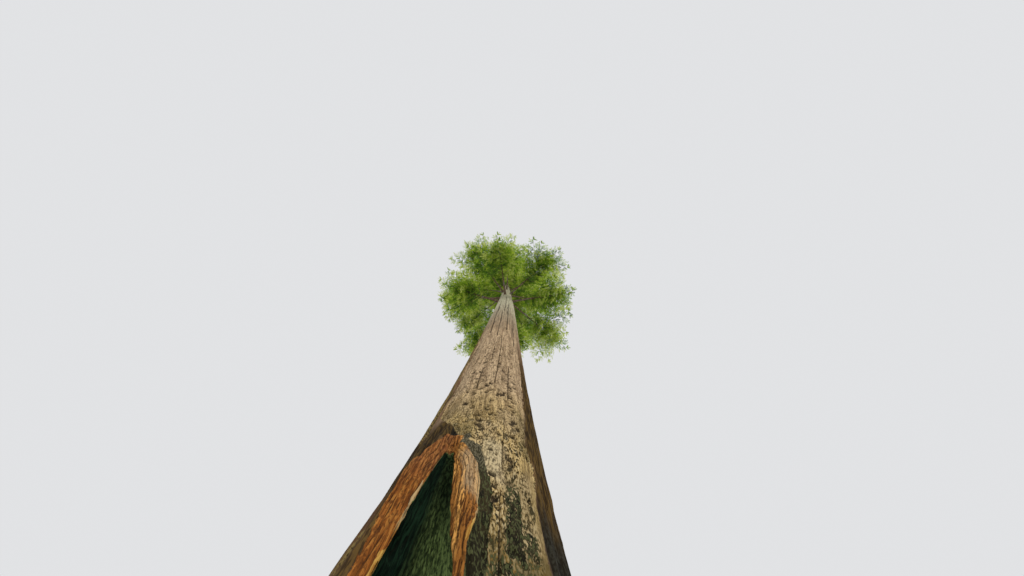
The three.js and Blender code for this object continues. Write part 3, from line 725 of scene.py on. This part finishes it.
UP = np.array([0.0, 0.0, 1.0])


def chance(i, j):
    """A fixed share from 0 to 1 for each pair of numbers: what is left after the point of a large
    sine of them."""
    value = np.sin(i * 127.1 + j * 311.7) * 43758.5453
    return value - np.floor(value)


def mix(a, b, share):
    """a where the share is 0 and b where it is 1."""
    return a + (b - a) * share


def crown_reach(z):
    """The crown's reach from the trunk's middle: rounded at its foot, a point at its head."""
    share = (z - CROWN_FOOT) / (HEIGHT - CROWN_FOOT)
    rounded = CROWN_FOOT_REACH + (1 - CROWN_FOOT_REACH) * min(1, share / CROWN_ROUNDED)
    return CROWN_RADIUS * rounded * (1 - share) ** CROWN_POWER


def on_curve(line, t):
    """Points on a curve drawn by four points, each weighed by its share of the cubed sum of t and
    what is left of 1."""
    t = np.asarray(t, float)[..., None]
    left = 1 - t
    return left**3 * line[0] + 3 * t * left**2 * line[1] + 3 * t * t * left * line[2] + t**3 * line[3]


def unit(vectors):
    """The same directions, each with a length of 1."""
    return vectors / np.linalg.norm(vectors, axis=-1, keepdims=True)


def way_along(line, t):
    """The direction of that curve: the same rule on the steps between its four points."""
    t = np.asarray(t, float)[..., None]
    steps = np.diff(line, axis=0)
    return unit((1 - t) ** 2 * steps[0] + 2 * t * (1 - t) * steps[1] + t * t * steps[2])


def limb(i):
    """Limb i: it leaves the trunk at its own height, turn and rise, sags, and levels out. Returns
    its line, how much of it is bare, its radius at the trunk, and how its twigs stand round it."""
    share = i / (LIMBS - 1)
    z = mix(CROWN_FOOT, CROWN_HEAD, share**LIMB_CROWDING)
    turn = math.radians(FIRST_TURN + GOLDEN_TURN * i + TURN_SPREAD * (chance(i, 1) - 0.5))
    reach = crown_reach(z) * (LEAST_REACH + REACH_SPREAD * chance(i, 2))
    rise = mix(*RISES, share) + RISE_SPREAD * (chance(i, 3) - 0.5)
    sag = mix(*SAGS, share)
    inside = INSET * trunk_radius(z, math.pi)
    run = reach - inside
    outward = np.array([math.cos(turn), math.sin(turn), 0])
    foot = np.array([*trunk_axis(z), z])
    bends = ((0, 0), (0.33, 0.36 * rise), (0.67, 0.68 * rise - 0.7 * sag), (1, 0.8 * rise - sag))
    line = np.array([foot + outward * (inside + run * along) + UP * run * lift for along, lift in bends])
    bare = BARE_SHARE * mix(1, 0.72, i / BOUGHS) if i < BOUGHS else 0
    radius = LIMB_RADIUS[0] + LIMB_RADIUS[1] * trunk_radius(z, 0)
    return {"i": i, "line": line, "bare": bare, "radius": radius, "whorl": math.pi}


def across_and_up(along):
    """Two directions square to each line: one level, the other as near to upright as can be."""
    level = np.cross(along, UP)
    size = np.linalg.norm(level, axis=-1, keepdims=True)
    across = np.where(size > 0.1, level / np.maximum(size, 1e-9), (1.0, 0.0, 0.0))
    return across, unit(np.cross(across, along))


def tubes(centres, radii, sides):
    """Closed tubes, one for each row of centres, as rings of points square to the way along."""
    across, upright = across_and_up(unit(np.gradient(centres, axis=1)))
    angle = 2 * np.pi * np.arange(sides) / sides
    ring = upright[:, :, None] * np.cos(angle)[:, None] + across[:, :, None] * np.sin(angle)[:, None]
    points = centres[:, :, None] + ring * np.broadcast_to(radii[..., None], ring.shape[:-1])[..., None]
    many, rings = centres.shape[:2]
    start = (np.arange(many) * rings * sides)[:, None, None]
    faces = [(start + f[None]).reshape(-1, f.shape[1]) for f in ring_faces(rings, sides)]
    return points.reshape(-1, 3), faces


def join(parts):
    """One set of points and faces from several."""
    starts = np.cumsum([0] + [len(points) for points, _ in parts])
    faces = [f + start for start, (_, group) in zip(starts, parts) for f in group]
    return np.concatenate([points for points, _ in parts]), faces


limbs = [limb(i) for i in range(LIMBS)]
boughs = limbs[:BOUGHS]
share = np.linspace(0, 1, BOUGH_RINGS)
centres = np.stack([on_curve(b["line"], share * b["bare"]) for b in boughs])
root = np.array([b["radius"] for b in boughs])[:, None]
radii = root * mix(1, BOUGH_TAPER, share) * (1 + COLLAR[0] * np.exp(-share / COLLAR[1]))
angle = 2 * np.pi * np.arange(BOUGH_SIDES) / BOUGH_SIDES
spots = np.stack(np.broadcast_arrays(np.cos(angle) * 2.2, np.sin(angle) * 2.2, centres[..., :1] * 9), -1)
knobbly = 1 + KNOBBLES[0] * soft_noise(spots) + KNOBBLES[1] * soft_noise(spots * 2.3 + 5)
points, faces = tubes(centres, np.ones(radii.shape), BOUGH_SIDES)
middle = np.repeat(centres, BOUGH_SIDES, axis=1).reshape(-1, 3)
points = middle + (points - middle) * (radii[..., None] * knobbly).reshape(-1, 1)

limb_finish = Finish("thin_limb_bark")
flakes = limb_finish.noise(22, 22)
grey = limb_finish.noise(4, 4, 2.0)
colour = limb_finish.laid((0.07, 0.045, 0.03), (0.24, 0.16, 0.105), flakes, 0.38, 0.66)
colour = limb_finish.laid(colour, (0.24, 0.23, 0.18), grey, 0.48, 0.66, 0.6)
limb_material = limb_finish.output(limb_finish.surface(colour, 0.9, 0.15, (0.5, 0.006, flakes)))
piece = add_mesh("boughs", points, faces)
piece.data.materials.append(limb_material)
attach(piece, "root")
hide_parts(*[f"bough_{i + 1:02d}" for i in range(BOUGHS)])

# The twigs
# Beyond its bare part each limb goes on as a thin stem with drooping twigs, and each twig carries
# branchlets by turns to its left and right. The leader at the very top has twigs all round it.
TWIGS = 6
# Sets of twigs: the first draw of each, its turn round the stem, its size, and its shift along it.
TWIG_SETS = (
    (0, 0.0, 1.0, 0.7), (7, math.pi, 0.7, 0.4), (14, math.pi / 2, 0.85, 0.1), (21, -math.pi / 2, 0.65, 0.9),
)
TWIG_TRIES = (1, 0.8, 0.62, 0.46)  # the sizes that a twig is tried at until it has room
LIMB_ROOM = 0.045  # how much nearer to its own limb than to the next a twig stays
TRUNK_ROOM = 0.06
TOP_ROOM = 0.045
TWIG_LEAN = 54
TWIG_LEAN_SPREAD = 16
TWIG_LIFT = (0.3, -1.2)  # from how far up to how far down a twig is turned from its lean
TWIG_TILT = 1.5
TWIG_SIZE = (0.36, 0.68)  # in metres, and for each metre from the limb's bare part to its tip
TWIG_RADIUS = 0.6  # as a share of its stem's
TWIG_WOOD = 0.22  # how much of a twig is bare before its spray
SPRAY_WIDTH = 0.7  # as a share of its twig's length
SPRAY_RADIUS = 0.7  # as a share of its twig's
STEM_END = 0.8  # where a stem ends in its last spray
LAST_SPRAY_WIDTH = 0.8
STEM_STEPS = 3  # straight stretches of a stem, as in the solids
STEM_TAPER = 0.4
LEAFY_STEM = 0.8  # the radius of a stem that starts at the trunk, as a share of its limb's
LEADER_RADIUS = 0.013
GAP = 0.0003  # between the trunk's top and the leader
DROOP = 0.2
TIP_RADIUS = 0.0025
# Round a spray: shares of its length and of its width.
OUTLINE = ((0.26, 0.5), (0.42, 0.27), (0.64, 0.4), (1, 0), (0.64, -0.4), (0.42, -0.27), (0.26, -0.5))
# How far the branchlets reach: a share of the spray's length, and what share of its width they
# reach there.
BRANCHLET_REACH = ((0, 0.12), (0.12, 0.34), (0.26, 0.5), (0.45, 0.42), (0.64, 0.4), (0.84, 0.24), (1, 0.02))
BRANCHLET_SPACING = 0.11
BRANCHLET_START = 0.10  # from where along a spray the branchlets' tips lie
BRANCHLET_LEAN = math.radians(50)
BRANCHLET_HANG = 0.16
BRANCHLET_LIFT = 0.22
BRANCHLET_RADIUS = (0.0015, 0.004)  # in metres, and for each metre of its length
BRANCHLET_TAPER = 0.35
BRANCHLET_POINTS = 4


def leader():
    """The leader goes straight on from the top of the trunk."""
    x, y = trunk_axis(TRUNK_TOP + GAP)
    foot = np.array([x, y, TRUNK_TOP + GAP])
    tip = np.array([x + 0.020, y - 0.015, HEIGHT])
    line = np.array([mix(foot, tip, step / 3) for step in range(4)])
    whorl = math.radians(GOLDEN_TURN)
    return {"i": LIMBS, "line": line, "bare": 0, "radius": LEADER_RADIUS, "whorl": whorl}


def turned(vector, along, angle):
    """A vector turned about a line that it is square to."""
    return vector * math.cos(angle) + np.cross(along, vector) * math.sin(angle)


def in_plane(blade, x, y, lift=0):
    """Places in a spray's drooping plane, or in those of many sprays: x along it, y to its side,
    and a lift out of it. The droop grows with the square of x, and is least on an upright spray."""
    hang = DROOP * x * x / blade["length"] * (1 - blade["along"][..., 2] ** 2)
    flat = blade["start"] + blade["along"] * x[..., None] + blade["side"] * y[..., None]
    return flat + blade["up"] * np.asarray(lift)[..., None] - UP * hang[..., None]


def spray(start, along, tilt, length, width, radius, i, k):
    """A flat drooping spray: where it starts, which way it grows, and its plane's own directions."""
    across, upright = across_and_up(along)
    side, up = turned(across, along, tilt), turned(upright, along, tilt)
    return {"start": start, "along": along, "side": side, "up": up, "length": length,
            "width": width, "radius": radius, "i": i, "k": k}


def twig(own, stem_radius, k, grown, first, about, scale, shift):
    """Twig k of one set on a limb: it leaves the stem's straight stretches at an even step, leans
    away to its own side, hangs a little, and ends in a spray."""
    i, line, bare = own["i"], own["line"], own["bare"]
    share = (k + shift) / TWIGS
    step = min(STEM_STEPS - 1, int(share * STEM_STEPS))
    ends = on_curve(line, mix(bare, 1, STEM_END * np.array([step, step + 1]) / STEM_STEPS))
    root = mix(ends[0], ends[1], share * STEM_STEPS - step)
    along = way_along(line, mix(bare, 1, STEM_END * share))
    draw = 30 * first + k
    lean = math.radians(TWIG_LEAN + TWIG_LEAN_SPREAD * (chance(i, 10 + draw) - 0.5))
    across = turned(across_and_up(along)[0], along, about + k * own["whorl"])
    direction = along * math.cos(lean) + across * math.sin(lean)
    direction = unit(direction + UP * mix(*TWIG_LIFT, chance(i, 20 + draw)))
    size = TWIG_SIZE[0] + TWIG_SIZE[1] * np.linalg.norm(on_curve(line, bare) - on_curve(line, 1))
    length = scale * grown * size * (0.55 + 0.5 * math.sin(math.pi * mix(0.25, 0.9, share)))
    tilt = TWIG_TILT * (chance(i, 30 + draw) - 0.5)
    radius = TWIG_RADIUS * stem_radius * mix(1, STEM_TAPER, share)
    start = root + direction * TWIG_WOOD * length
    width, reach = SPRAY_WIDTH * length, (1 - TWIG_WOOD) * length
    blade = spray(start, direction, tilt, reach, width, SPRAY_RADIUS * radius, i, first + k)
    return {**blade, "root": root, "root_radius": radius}


all_limbs = [*limbs, leader()]
limb_points = np.stack([on_curve(each["line"], np.arange(13) / 12) for each in all_limbs])


def in_own_space(points, own):
    """True if every point is nearer to its own limb than to any other, clear of the trunk, and
    lower than the crown's top."""
    away = np.linalg.norm(points[:, None, None] - limb_points, axis=-1).min(-1)
    others = np.delete(away, own, axis=1).min(1)
    z = points[:, 2]
    x, y = trunk_axis(z)
    trunk = trunk_radius(np.minimum(z, HEIGHT), 0)
    clear = np.hypot(points[:, 0] - x, points[:, 1] - y) > trunk + TRUNK_ROOM
    clear = np.where(z > TRUNK_TOP, z < HEIGHT - TOP_ROOM, clear)
    return bool(np.all((others >= away[:, own] + LIMB_ROOM) & clear))


outline_u, outline_v = np.array(OUTLINE).T
sprays = []
stems = []
for own in all_limbs:
    thick = BOUGH_TAPER * own["radius"] if own["bare"] > 0 else LEAFY_STEM * own["radius"]
    stem_end = mix(own["bare"], 1, STEM_END)
    stems.append((own, thick, stem_end))
    last = np.linalg.norm(on_curve(own["line"], 1) - on_curve(own["line"], stem_end))
    start, along = on_curve(own["line"], stem_end), way_along(own["line"], stem_end)
    width, radius = LAST_SPRAY_WIDTH * last, STEM_TAPER * thick
    sprays.append(spray(start, along, 0.0, last, width, radius, own["i"], TWIGS))
    for twig_set, k in itertools.product(TWIG_SETS, range(TWIGS)):
        for grown in TWIG_TRIES:
            blade = twig(own, thick, k, grown, *twig_set)
            edge = in_plane(blade, outline_u * blade["length"], outline_v * blade["width"])
            if in_own_space(edge, own["i"]):
                sprays.append(blade)
                break

steps = np.linspace(0, 1, 11)
stem_lines = np.stack([on_curve(own["line"], mix(own["bare"], end, steps)) for own, _, end in stems])
stem_radii = np.stack([thick * mix(1, STEM_TAPER, steps) for _, thick, _ in stems])
parts = [tubes(stem_lines, stem_radii, 7)]
twigs = [blade for blade in sprays if "root" in blade]
steps = np.linspace(0, 1, 3)[:, None]
twig_lines = np.stack([mix(blade["root"], blade["start"], steps) for blade in twigs])
twig_radii = np.stack([mix(blade["root_radius"], blade["radius"], steps[:, 0]) for blade in twigs])
parts.append(tubes(twig_lines, twig_radii, 6))
steps = np.linspace(0, 1, 9)
axis_lines = np.stack([in_plane(blade, steps * blade["length"], steps * 0) for blade in sprays])
axis_radii = np.stack([mix(blade["radius"], TIP_RADIUS, steps**0.6) for blade in sprays])
parts.append(tubes(axis_lines, axis_radii, 5))

by_part = {part: np.stack([blade[part] for blade in sprays]) for part in sprays[0]}


def members(counts):
    """The group that each member belongs to, and its place in the group, for groups so large."""
    group = np.repeat(np.arange(len(counts)), counts)
    return group, np.arange(counts.sum()) - np.repeat(np.cumsum(counts) - counts, counts)


counts = np.clip(np.round(by_part["length"] / BRANCHLET_SPACING), 4, 20).astype(int)
blade_of, place = members(counts)
limb_number, twig_number = by_part["i"][blade_of], by_part["k"][blade_of]
key = limb_number * 28 + twig_number
length, width = by_part["length"][blade_of], by_part["width"][blade_of]
reach_u, reach_v = np.array(BRANCHLET_REACH).T
step_along = (place + 0.35 + 0.5 * chance(key, place + 50)) / counts[blade_of]
tip_u = BRANCHLET_START + (1 - BRANCHLET_START) * step_along
side = np.where((place + twig_number) % 2, 1.0, -1.0)
tip_y = width * np.interp(tip_u, reach_u, reach_v) * (0.84 + 0.16 * chance(key, place + 90))
tip_x = tip_u * length
root_x = np.maximum(0.0, tip_x - tip_y / math.tan(BRANCHLET_LEAN))
branchlet_length = np.hypot(tip_x - root_x, tip_y)
branchlet_hang = BRANCHLET_HANG * (0.5 + chance(key, place + 130)) * branchlet_length
branchlet_lift = BRANCHLET_LIFT * (chance(key, place + 170) - 0.4) * branchlet_length
steps = np.linspace(0, 1, BRANCHLET_POINTS)


def on_branchlet(b, t):
    """Places on branchlets: out and forward from the spray's axis, lifted, then hanging more and
    more towards the tip."""
    blades = {part: values[blade_of[b]] for part, values in by_part.items()}
    x = mix(root_x[b], tip_x[b], t**1.2)
    place = in_plane(blades, x, side[b] * tip_y[b] * t, branchlet_lift[b] * t)
    return place - UP * (branchlet_hang[b] * t * t)[..., None]


every = np.arange(len(blade_of))[:, None] + np.zeros(BRANCHLET_POINTS, int)
branchlet_lines = on_branchlet(every, np.broadcast_to(steps, every.shape))
branchlet_root = BRANCHLET_RADIUS[0] + BRANCHLET_RADIUS[1] * branchlet_length
branchlet_radii = np.outer(branchlet_root, mix(1, BRANCHLET_TAPER, steps))

twig_finish = Finish("green_brown_twigs")
colour = twig_finish.blend(twig_finish.noise(9, 9), (0.05, 0.034, 0.016), (0.15, 0.105, 0.045))
twig_material = twig_finish.output(twig_finish.surface(colour, 0.85, 0.15))
foliage_nodes = [f"foliage_{i + 1:02d}" for i in range(LIMBS)] + ["foliage_top"]
for name, group in (("twigs", parts), ("branchlets", [tubes(branchlet_lines, branchlet_radii, 3)])):
    points, faces = join(group)
    piece = add_mesh(name, points, faces)
    piece.data.materials.append(twig_material)
    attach(piece, "root")
    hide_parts(*foliage_nodes)

# The needles
# Flat shoots with a row of needles on each side stand along every branchlet. Young shoots at the
# tips are yellow-green and old ones near the stem are deep green, so whole shoots differ in tint.
SHOOT_LENGTH = 0.19
SHOOT_SPACING = 0.08
SHOOT_LEAN = math.radians(46)
SHOOT_ROLL = 0.9
SHOOT_LIFT = 0.35
SHOOT_DROOP = 0.16
SHOOT_ENDS = (0.02, 0.97)  # where on a branchlet the first shoot may stand, and the one at its tip
NEEDLE_PAIRS = 6
NEEDLE_WIDTH = 0.23  # how far the longest needles reach, as a share of the shoot's length
NEEDLE_FORWARD = 0.10
GLOW = 0.4  # the share of the light that goes through a needle
TINTS = {
    "deep_green": (0.075, 0.16, 0.018),
    "leaf_green": (0.16, 0.29, 0.022),
    "fresh_green": (0.27, 0.42, 0.032),
    "yellow_green": (0.42, 0.54, 0.052),
    "pale_green": (0.56, 0.64, 0.15),
}


def square_to(vectors, along):
    """Each vector less its share along its line, with a length of 1."""
    return unit(vectors - along * (vectors * along).sum(-1, keepdims=True))


counts = np.maximum(3, np.round(branchlet_length / SHOOT_SPACING)).astype(int) * 2
shoot_of, place = members(counts)
key = shoot_of * 3.1
nearest, at_end = SHOOT_ENDS
along_it = (place + 0.7 + 0.4 * (chance(key, place) - 0.5)) / counts[shoot_of]
at_tip = place == counts[shoot_of] - 1
along_it = np.where(at_tip, at_end, np.clip(along_it, nearest, 1))
base = on_branchlet(shoot_of, along_it)
ahead = unit(on_branchlet(shoot_of, along_it + 0.02) - on_branchlet(shoot_of, along_it - 0.02))
above = square_to(by_part["up"][blade_of[shoot_of]], ahead)
beside = np.cross(above, ahead)
swing = np.where(place % 2, 1, -1) * SHOOT_LEAN * (0.8 + 0.4 * chance(key, place + 20))
swing = np.where(at_tip, 0.0, swing)
roll = SHOOT_ROLL * (chance(key, place + 40) - 0.5)
direction = ahead * np.cos(swing)[:, None] + beside * np.sin(swing)[:, None]
direction = unit(direction + UP * (SHOOT_LIFT * (chance(key, place + 60) - 0.65))[:, None])
flat = beside * np.cos(swing)[:, None] - ahead * np.sin(swing)[:, None]
flat = square_to(flat * np.cos(roll)[:, None] + above * np.sin(roll)[:, None], direction)
size = SHOOT_LENGTH * (0.7 + 0.5 * chance(key, place + 80)) * (1 - 0.3 * along_it)

stalk_x = np.arange(NEEDLE_PAIRS + 1) / NEEDLE_PAIRS
needle_at = (np.arange(NEEDLE_PAIRS) + 0.5) / NEEDLE_PAIRS
needle_out = NEEDLE_WIDTH * np.sin(np.pi * mix(0.2, 0.9, needle_at)) ** 0.6
needle_x = needle_at + NEEDLE_FORWARD
shoot_x = np.concatenate([stalk_x, needle_x, needle_x])
shoot_y = np.concatenate([stalk_x * 0, needle_out, -needle_out])
shoot_z = -SHOOT_DROOP * shoot_x**2
shoot_points = base[:, None] + size[:, None, None] * (
    direction[:, None] * shoot_x[:, None] + flat[:, None] * shoot_y[:, None] + UP * shoot_z[:, None]
)
first = np.arange(NEEDLE_PAIRS)
left = np.stack([first, first + 1, first + NEEDLE_PAIRS + 1], -1)
right = np.stack([first + 1, first, first + 2 * NEEDLE_PAIRS + 1], -1)
shoot_faces = np.concatenate([left, right])

spray_luck = chance(limb_number[shoot_of], twig_number[shoot_of] + 3)
youth = 0.5 * along_it + 0.35 * tip_u[shoot_of] + 0.5 * chance(key, place + 7) + 0.7 * spray_luck
tint = np.argsort(np.argsort(youth)) * len(TINTS) // len(youth)
for number, (name, colour) in enumerate(TINTS.items()):
    chosen = shoot_points[tint == number]
    starts = np.arange(len(chosen))[:, None, None] * len(shoot_x)
    faces = (starts + shoot_faces).reshape(-1, 3)
    finish = Finish(f"{name}_needles")
    leaf = finish.surface((*colour, 1), 0.7, 0.15)
    glow = finish.node("ShaderNodeBsdfTranslucent", {}, {"Color": (*colour, 1)})
    material = finish.output(finish.node("ShaderNodeMixShader", {}, {0: GLOW, 1: leaf, 2: glow}))
    piece = add_mesh(f"shoots_{name}", chosen.reshape(-1, 3), [faces])
    piece.data.materials.append(material)
    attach(piece, "root")
    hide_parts(*foliage_nodes)

# The studio
# A plain pale floor at ground level, a pale even sky, and one broad soft lamp from the front. The
# camera stands beside the trunk and looks almost straight up, with a wide lens.
FLOOR_SIZE = 160.0
FLOOR_DROP = 0.002
SKY_COLOUR = (0.97, 0.98, 1.0)
SKY_STRENGTH = 0.78
LAMP_COLOUR = (1.0, 0.95, 0.86)
LAMP_STRENGTH = 1.3
LAMP_SPREAD = 25  # degrees across, for soft shadows
LAMP_TURNS = (48, 0, 35)  # degrees about the three axes
CAMERA_PLACE = (0.3185, -1.9035, 0.70)
CAMERA_TILT = 3.74  # degrees from straight up, towards the tree
CAMERA_LENS = 14.0
CAMERA_SENSOR = 36
CAMERA_SEES = (0.05, 300)  # the nearest and the farthest, in metres

edge = FLOOR_SIZE / 2
corners = np.array([(-edge, -edge, 0), (edge, -edge, 0), (edge, edge, 0), (-edge, edge, 0)])
floor = add_mesh("studio_floor", corners - UP * FLOOR_DROP, [np.array([[0, 1, 2, 3]])])
floor_finish = Finish("pale_floor")
floor.data.materials.append(floor_finish.output(floor_finish.surface((0.74, 0.74, 0.72, 1), 0.9, 0.5)))

sky = bpy.data.worlds.new("pale_sky")
sky.use_nodes = True
sky.node_tree.nodes["Background"].inputs["Color"].default_value = (*SKY_COLOUR, 1)
sky.node_tree.nodes["Background"].inputs["Strength"].default_value = SKY_STRENGTH
bpy.context.scene.world = sky
lamp = bpy.data.lights.new("soft_lamp", "SUN")
lamp.energy = LAMP_STRENGTH
lamp.angle = math.radians(LAMP_SPREAD)
lamp.color = LAMP_COLOUR
lamp_place = bpy.data.objects.new("soft_lamp", lamp)
lamp_place.rotation_euler = np.radians(LAMP_TURNS)
bpy.context.scene.collection.objects.link(lamp_place)

camera = bpy.data.cameras.new("camera")
camera.lens = CAMERA_LENS
camera.sensor_width = CAMERA_SENSOR
camera.clip_start, camera.clip_end = CAMERA_SEES
camera_place = bpy.data.objects.new("camera", camera)
camera_place.location = CAMERA_PLACE
camera_place.rotation_euler = (math.pi - math.radians(CAMERA_TILT), 0, 0)
bpy.context.scene.collection.objects.link(camera_place)
bpy.context.scene.camera = camera_place
bpy.context.scene.view_settings.view_transform = "Standard"
